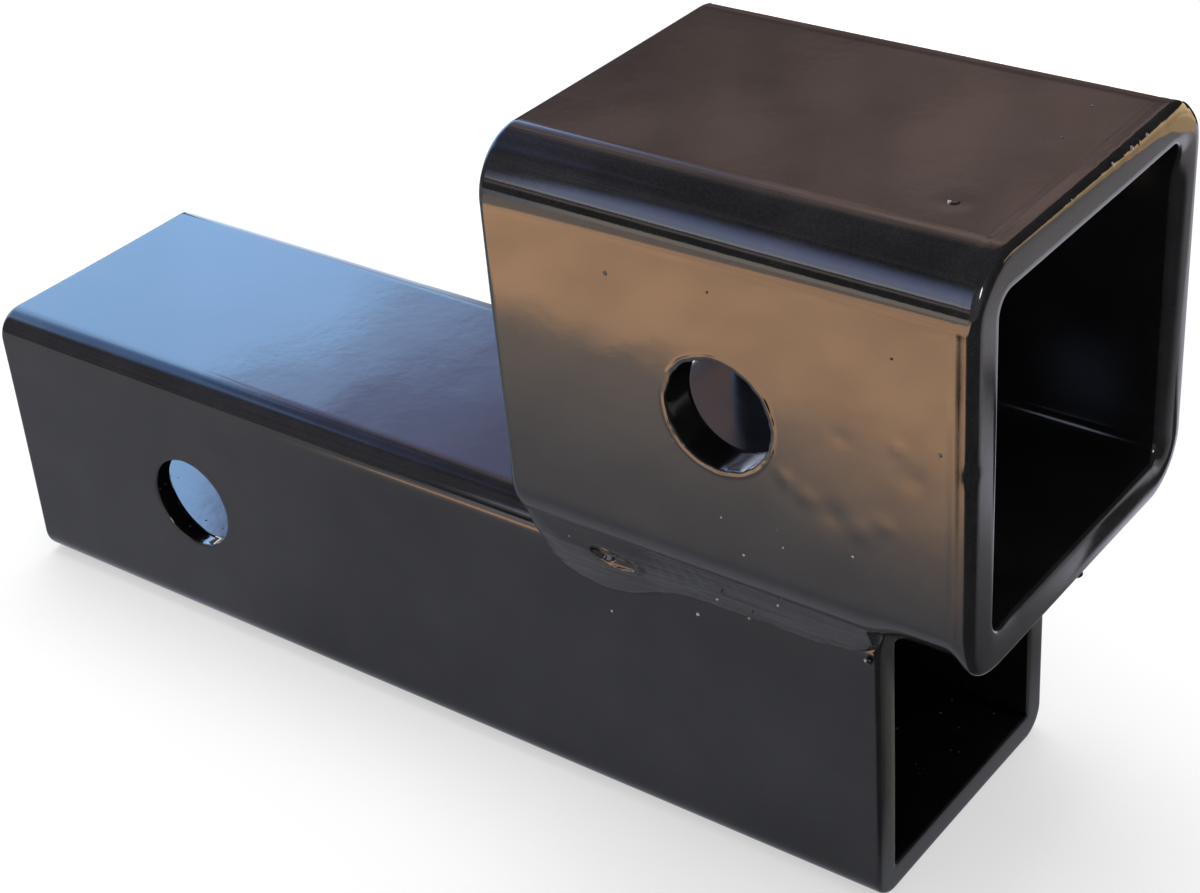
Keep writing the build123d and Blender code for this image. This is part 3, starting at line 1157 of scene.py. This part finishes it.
def add_sheet(name, reach, height, material):
    """A level square round the object, for the floor and the card that lies on it."""
    corners = ((-reach, -reach), (reach, -reach), (reach, reach), (-reach, reach))
    made = bpy.data.meshes.new(name)
    made.from_pydata([(*corner, height) for corner in corners], [], [(0, 1, 2, 3)])
    return add_stage_object(name, made, material)


def add_dark_surround():
    """Dim surroundings: black at the right, brown at the back, grey at the left and darker overhead."""
    panel = GlossPanel("dark_surround", (0, 360), (-0.3, 90), 4.4)

    def find_glow(tree):
        azimuth, elevation = panel.angles(tree)
        streaks = soft_noise(tree, (90.0, 60.0, 1.0), 4.0)
        around = add_ramp(
            tree,
            azimuth,
            (
                (0, (0.10, 0.10, 0.11)),
                (25, (0.02, 0.02, 0.02)),
                (90, (0.02, 0.02, 0.02)),
                (98, (0.50, 0.33, 0.27)),
                (129, (0.48, 0.33, 0.29)),
                (150, (0.30, 0.27, 0.30)),
                (200, (0.24, 0.24, 0.32)),
                (262, (0.35, 0.35, 0.40)),
                (290, (0.55, 0.55, 0.60)),
                (335, (0.45, 0.45, 0.48)),
                (360, (0.10, 0.10, 0.11)),
            ),
        )
        rising = add_curve(
            tree,
            elevation,
            (
                (0.0, 0.46),
                (5.0, 0.50),
                (14.0, 0.68),
                (20.0, 0.60),
                (23.0, 0.48),
                (25.3, 1.02),
                (28.0, 1.45),
                (31.0, 2.00),
                (36.0, 2.60),
                (44.0, 1.50),
            ),
        )
        at_back = all_of(tree, add_range(tree, azimuth, 92, 100), add_range(tree, azimuth, 150, 136))
        around = add_mix(tree, at_back, around, tinted(tree, around, rising))
        smears = add_range(tree, soft_noise(tree, (32.0, 34.0, 1.0), 2.0), -0.2, 0.2, 1.15, 0.78)
        broken = add_maths(tree, "MULTIPLY", smears, add_range(tree, streaks, -0.15, 0.15, 0.65, 1.2))
        streaked = tinted(tree, around, broken)
        return add_mix(tree, add_range(tree, elevation, 44, 56), streaked, (0.06, 0.05, 0.08)), None

    panel.add(find_glow)


def add_cool_sky():
    """Cool light at the back left, bright below a slanted edge and streaked grey above it."""
    panel = GlossPanel("cool_sky", (120, 206), (8, 58), 4.0)

    def find_glow(tree):
        azimuth, elevation = panel.angles(tree)
        edge = add_curve(
            tree,
            azimuth,
            ((120, 27.3), (134, 28.8), (139.3, 29.4), (140.6, 33.0), (150, 41.0), (156, 46.0), (206, 52.0)),
        )
        waver = add_maths(tree, "MULTIPLY", soft_noise(tree, (14.0, 40.0, 1.0), 4.0), 2.6)
        above = add_maths(tree, "ADD", add_maths(tree, "SUBTRACT", elevation, edge), waver)
        shade = add_ramp(
            tree,
            above,
            (
                (-6.0, (2.0, 3.55, 5.9)),
                (-0.3, (2.2, 3.8, 6.4)),
                (0.15, (1.8, 2.8, 4.6)),
                (0.6, (1.35, 1.9, 3.3)),
                (1.0, (1.75, 2.6, 4.3)),
                (1.5, (1.1, 1.4, 2.5)),
                (2.4, (0.88, 1.03, 1.85)),
                (4.6, (0.70, 0.74, 1.3)),
                (8.5, (0.40, 0.38, 0.55)),
            ),
        )
        dimmed = add_range(tree, elevation, 38, 46)
        shade = add_mix(tree, dimmed, shade, tinted(tree, shade, (0.34, 0.38, 0.48)))
        slant = add_maths(tree, "ADD", azimuth, add_maths(tree, "MULTIPLY", elevation, 1.2))
        side = all_of(tree, add_range(tree, slant, 161.0, 165.5), add_range(tree, azimuth, 123.5, 126.5))
        far_side = add_range(tree, azimuth, 205, 190)
        top = add_range(tree, above, 12.0, 5.0)
        low = add_range(tree, elevation, 9, 14)
        return shade, all_of(tree, side, far_side, top, low)

    panel.add(find_glow)


def add_pale_haze():
    """Bands of pale light close by at the front left, over a warm strip along the ground."""
    panel = GlossPanel("pale_haze", (230, 268), (-0.3, 56), 0.6)

    def find_glow(tree):
        azimuth, elevation = panel.angles(tree)
        shade = add_ramp(
            tree,
            elevation,
            (
                (0.0, (2.8, 2.4, 2.0)),
                (5.5, (2.6, 2.3, 1.9)),
                (6.5, (0.04, 0.03, 0.03)),
                (16.0, (0.04, 0.04, 0.04)),
                (17.2, (1.3, 1.0, 0.85)),
                (19.2, (1.2, 1.0, 0.90)),
                (20.4, (0.15, 0.15, 0.18)),
                (21.6, (0.3, 0.3, 0.35)),
                (22.4, (3.3, 3.3, 3.4)),
                (24.2, (3.2, 3.3, 3.6)),
                (25.6, (2.1, 2.4, 3.6)),
                (32.0, (2.0, 2.3, 3.5)),
                (41.0, (1.05, 1.3, 2.4)),
                (48.0, (0.30, 0.34, 0.60)),
                (52.0, (0.06, 0.06, 0.09)),
                (56.0, (0.04, 0.04, 0.06)),
            ),
        )
        left = all_of(tree, add_range(tree, azimuth, 246.0, 242.5), add_range(tree, elevation, 12.0, 10.0))
        shade = add_mix(tree, left, shade, tinted(tree, shade, (0.55, 0.66, 0.95)))
        return shade, all_of(tree, add_range(tree, azimuth, 237.5, 243.5), add_range(tree, azimuth, 267, 262))

    panel.add(find_glow)


def add_glint():
    """One small bright spot, high at the front right."""
    panel = GlossPanel("front_glint", (313, 331), (29, 47), 3.8)

    def find_glow(tree):
        azimuth, elevation = panel.angles(tree)
        across, up = add_maths(tree, "SUBTRACT", azimuth, 322), add_maths(tree, "SUBTRACT", elevation, 38)
        off = add_maths(tree, "ADD", add_maths(tree, "POWER", across, 2), add_maths(tree, "POWER", up, 2))
        spot = add_range(tree, off, 80, 30)
        return add_mix(tree, spot, (0.3, 0.3, 0.3), (26.0, 26.0, 25.0)), spot

    panel.add(find_glow)


def card_place(tree):
    """A place on a card, and its parts by the names of their axes."""
    place = add_node(tree, "ShaderNodeTexCoord").outputs["Object"]
    split = add_node(tree, "ShaderNodeSeparateXYZ")
    tree.links.new(place, split.inputs["Vector"])
    return place, split.outputs


def above_line(tree, x, y, start, slope):
    """How far y lies above a line that leaves the X axis at the start and climbs by the slope."""
    run = add_maths(tree, "SUBTRACT", x, start)
    return add_maths(tree, "SUBTRACT", y, add_maths(tree, "MULTIPLY", run, slope))


def back_strip_glow(tree):
    """Pale light along the low strip behind the shank."""
    axes = card_place(tree)[1]
    shade = add_ramp(
        tree,
        axes["X"],
        (
            (-0.160, (2.6, 3.3, 4.6)),
            (-0.085, (2.2, 2.6, 3.4)),
            (-0.055, (0.5, 0.5, 0.65)),
            (0.000, (0.2, 0.2, 0.25)),
        ),
    )
    return shade, add_range(tree, axes["Z"], 0.120, 0.095)


def add_back_strip():
    """The strip itself, which only the shank's far edge sees."""
    made = bpy.data.meshes.new("back_strip")
    corners = ((-0.17, cad_low.z), (-0.002, cad_low.z), (-0.002, 0.12), (-0.17, 0.12))
    made.from_pydata([(x, 0.15, z) for x, z in corners], [], [(0, 1, 2, 3)])
    show_to_gloss_only(add_stage_object("back_strip", made, card_material("back_strip_glow", back_strip_glow)))


def card_noise(tree, place, scale, amount):
    """Soft noise about zero over a card, of about the amount."""
    texture = add_node(tree, "ShaderNodeTexNoise", {"Scale": scale, "Detail": 3.0})
    tree.links.new(place, texture.inputs["Vector"])
    return add_maths(tree, "MULTIPLY", add_maths(tree, "SUBTRACT", texture.outputs["Fac"], 0.5), amount)


def front_ground(tree, place, x, y):
    """The ground that the sides reflect: grey close by, tan further off and grey again at the left."""
    waver = add_maths(tree, "ADD", card_noise(tree, place, 26.0, 0.010), card_noise(tree, place, 110.0, 0.008))
    off = add_maths(tree, "SUBTRACT", waver, y)
    near = add_ramp(
        tree,
        off,
        (
            (0.030, (0.36, 0.37, 0.42)),
            (0.045, (0.45, 0.46, 0.53)),
            (0.070, (0.45, 0.46, 0.53)),
            (0.100, (0.74, 0.70, 0.73)),
            (0.115, (0.95, 0.87, 0.88)),
            (0.130, (1.35, 1.15, 1.05)),
            (0.150, (1.90, 1.50, 1.25)),
        ),
    )
    left = add_ramp(
        tree,
        off,
        (
            (-0.10, (0.50, 0.50, 0.54)),
            (0.00, (0.50, 0.51, 0.60)),
            (0.07, (0.53, 0.54, 0.63)),
            (0.12, (0.72, 0.72, 0.78)),
            (0.60, (0.80, 0.80, 0.85)),
        ),
    )
    blotches = add_range(tree, card_noise(tree, place, 60.0, 1.0), -0.2, 0.2)
    tan = add_mix(tree, blotches, (4.8, 2.8, 1.6), (5.9, 3.5, 2.0))
    start = add_curve(
        tree,
        x,
        (
            (-0.060, 0.156),
            (-0.030, 0.154),
            (0.014, 0.153),
            (0.053, 0.145),
            (0.065, 0.139),
            (0.076, 0.134),
            (0.110, 0.126),
        ),
    )
    spread = add_range(tree, x, 0.03, 0.08, 0.016, 0.060)
    share = add_maths(tree, "DIVIDE", add_maths(tree, "SUBTRACT", off, start), spread)
    warmed = all_of(tree, add_range(tree, share, -0.4, 0.6), add_range(tree, x, -0.086, -0.068))
    middle = add_mix(tree, warmed, near, tan)
    wedge = add_maths(tree, "ADD", x, add_maths(tree, "MULTIPLY", off, 0.62))
    front = add_mix(tree, add_range(tree, wedge, 0.010, 0.045), left, middle)
    bright = add_mix(tree, add_range(tree, y, 0.06, 0.12), front, (3.5, 3.4, 3.2))
    return add_mix(tree, add_range(tree, x, 0.05, -0.02), front, bright)


def right_ground(tree, x, y):
    """The ground that the mouth's walls reflect: grey at the back with a dark gap, and black at the front."""
    beyond = add_maths(tree, "ADD", x, y)
    behind = add_mix(tree, add_range(tree, beyond, 0.22, 0.42), (0.48, 0.47, 0.50), (0.58, 0.54, 0.56))
    behind = add_mix(tree, add_range(tree, x, 0.20, 0.14), behind, (0.30, 0.30, 0.27))
    lifted = above_line(tree, x, y, 0.16, 0.35)
    strip = all_of(tree, add_range(tree, lifted, 0.045, 0.075), add_range(tree, x, 0.235, 0.20))
    behind = add_mix(tree, strip, behind, (1.5, 1.5, 1.75))
    far = all_of(tree, add_range(tree, x, 0.250, 0.232), add_range(tree, y, 0.115, 0.150))
    behind = add_mix(tree, far, behind, (1.30, 1.30, 1.45))
    behind = tinted(tree, behind, add_range(tree, y, 0.030, 0.085, 0.4, 1.0))
    above = above_line(tree, x, y, 0.149, 1.26)
    gap = all_of(
        tree,
        add_range(tree, x, 0.190, 0.205),
        add_range(tree, x, 0.240, 0.232),
        add_range(tree, y, 0.128, 0.114),
        add_range(tree, above, 0.007, 0.013),
        add_range(tree, above, 0.060, 0.054),
    )
    behind = add_mix(tree, gap, behind, (0.05, 0.05, 0.05))
    lit = all_of(
        tree, add_range(tree, above_line(tree, x, y, 0.0, 1.2), -0.245, -0.165), add_range(tree, y, -0.03, 0.02)
    )
    return add_mix(tree, lit, (0.025, 0.025, 0.025), behind)


def ground_glow(tree):
    """The front and the right of the ground, with a grey patch at the shank's end, a painted reflection for the
    shank's end walls, and dusk far behind.
    """
    place, axes = card_place(tree)
    x, y = axes["X"], axes["Y"]
    bound = add_maths(tree, "ADD", add_maths(tree, "MULTIPLY", y, 0.568), 0.164)
    bound = add_maths(tree, "MINIMUM", add_maths(tree, "MAXIMUM", bound, 0.045), 0.128)
    past = add_maths(tree, "SUBTRACT", x, bound)
    front, right = front_ground(tree, place, x, y), right_ground(tree, x, y)
    shade = add_mix(tree, add_range(tree, past, 0.010, 0.025), front, right)
    # A grey patch by the shank's end, a painted reflection for the shank's end walls.
    end_wall_reflection = all_of(
        tree,
        add_range(tree, x, 0.139, 0.146),
        add_range(tree, x, 0.175, 0.168),
        add_range(tree, above_line(tree, x, y, 0.138, 1.68), -0.0250, -0.0200),
        add_range(tree, y, 0.030, 0.020),
    )
    shade = add_mix(tree, end_wall_reflection, shade, (0.36, 0.35, 0.31))
    dusk = all_of(
        tree, add_range(tree, y, 0.28, 0.32), add_range(tree, x, 0.02, 0.06), add_range(tree, x, 0.250, 0.235)
    )
    return add_mix(tree, dusk, shade, (0.03, 0.03, 0.03)), None


def edge_warmth_glow(tree):
    """Warm light on a card's upper side only, dimmer where it is near."""
    place, axes = card_place(tree)
    mottle = add_node(tree, "ShaderNodeTexNoise", {"Scale": 40.0, "Detail": 3.0})
    tree.links.new(place, mottle.inputs["Vector"])
    shade = add_mix(tree, add_range(tree, mottle.outputs["Fac"], 0.35, 0.65), (2.6, 1.75, 0.90), (3.7, 2.5, 1.3))
    shade = tinted(tree, shade, add_range(tree, axes["Y"], 0.06, 0.20, 0.6, 1.0))
    return shade, add_maths(tree, "SUBTRACT", 1.0, add_node(tree, "ShaderNodeNewGeometry").outputs["Backfacing"])


def add_edge_warmth():
    """A low warm card off to the back right, which only the mouth's top edge reflects."""
    outline = (
        (0.171, 0.064),
        (0.197, 0.066),
        (0.212, 0.056),
        (0.240, 0.059),
        (0.285, 0.097),
        (0.434, 0.232),
        (1.2, 0.85),
        (1.2, 1.4),
        (0.171, 1.4),
    )
    made = bpy.data.meshes.new("edge_warmth")
    made.from_pydata([(*corner, 0.064) for corner in outline], [], [tuple(range(len(outline)))])
    show_to_gloss_only(add_stage_object("edge_warmth", made, card_material("edge_warmth_glow", edge_warmth_glow)))


class EXTENDER_OT_stage(Operator):
    """Builds the floor, the lights, the cards that the gloss reflects and the camera"""

    bl_idname = "extender.stage"
    bl_label = "Build stage"

    # How far the floor and the card on it reach, and how far that card lies above the floor
    floor_reach, card_reach = 6.0, 4.35
    card_lift = 0.2 * MM

    def execute(self, context):
        scene = context.scene
        settings = scene.extender_stage
        add_sheet("pale_floor", self.floor_reach, cad_low.z, floor_material(settings.floor))
        glow = card_material("warm_ground_glow", ground_glow)
        show_to_gloss_only(add_sheet("ground_card", self.card_reach, cad_low.z + self.card_lift, glow))
        add_dark_surround()
        add_cool_sky()
        add_pale_haze()
        add_glint()
        add_back_strip()
        add_edge_warmth()
        self.add_lights(scene, settings)
        self.add_camera(scene, settings)
        scene.view_settings.view_transform = "Standard"
        return {"FINISHED"}

    def add_lights(self, scene, settings):
        """Even surrounding light, white where it is seen, and one soft overhead lamp."""
        world = bpy.data.worlds.new("studio")
        world.use_nodes = True
        tree = world.node_tree
        background = tree.nodes["Background"]
        background.inputs["Color"].default_value = (1.0, 1.0, 1.0, 1.0)
        tree.links.new(add_range(tree, seen_rays(tree), 0, 1, settings.sky_light, 1.0), background.inputs["Strength"])
        scene.world = world
        lamp = bpy.data.lights.new("overhead_lamp", "AREA")
        lamp.shape, lamp.size, lamp.energy = "DISK", 1.2, settings.lamp_power
        lamp_object = bpy.data.objects.new("overhead_lamp", lamp)
        lamp_object.location = (-0.2, 0.25, 1.6)
        lamp_object.rotation_euler = (radians(-9), radians(-9), 0)
        lamp_object.visible_glossy = False
        scene.collection.objects.link(lamp_object)

    def add_camera(self, scene, settings):
        """The camera, placed to match the photo's view."""
        camera = bpy.data.cameras.new("camera")
        camera.sensor_width = 36.0
        camera.lens = settings.lens
        camera.clip_start = 0.01
        holder = bpy.data.objects.new("camera", camera)
        holder.location = settings.camera_place
        holder.rotation_euler = settings.camera_turn
        scene.collection.objects.link(holder)
        scene.camera = holder


class VIEW3D_PT_extender(Panel):
    """Sizes and finishes of the extender, and the buttons that build it"""

    bl_label = "Extender"
    bl_space_type = "VIEW_3D"
    bl_region_type = "UI"
    bl_category = "Extender"

    def draw(self, context):
        layout = self.layout
        for group in SETTINGS:
            box = layout.box()
            settings = getattr(context.scene, group)
            for name in settings.__annotations__:
                box.prop(settings, name)
        for step in STEPS:
            layout.operator(step.bl_idname)


SETTINGS = {
    "extender_shank": ShankSettings,
    "extender_receiver": ReceiverSettings,
    "extender_weld": WeldSettings,
    "extender_paint": PaintSettings,
    "extender_stage": StageSettings,
}
STEPS = (EXTENDER_OT_shank_tube, EXTENDER_OT_receiver_tube, EXTENDER_OT_weld_beads, EXTENDER_OT_stage)
CLASSES = (*SETTINGS.values(), *STEPS, VIEW3D_PT_extender)


def register():
    for entry in CLASSES:
        bpy.utils.register_class(entry)
    for name, group in SETTINGS.items():
        setattr(bpy.types.Scene, name, PointerProperty(type=group))


def unregister():
    for name in SETTINGS:
        delattr(bpy.types.Scene, name)
    for entry in reversed(CLASSES):
        bpy.utils.unregister_class(entry)


def main():
    """Builds every piece in order."""
    register()
    bpy.ops.extender.shank_tube()
    bpy.ops.extender.receiver_tube()
    bpy.ops.extender.weld_beads()
    bpy.ops.extender.stage()


if __name__ == "__main__":
    main()
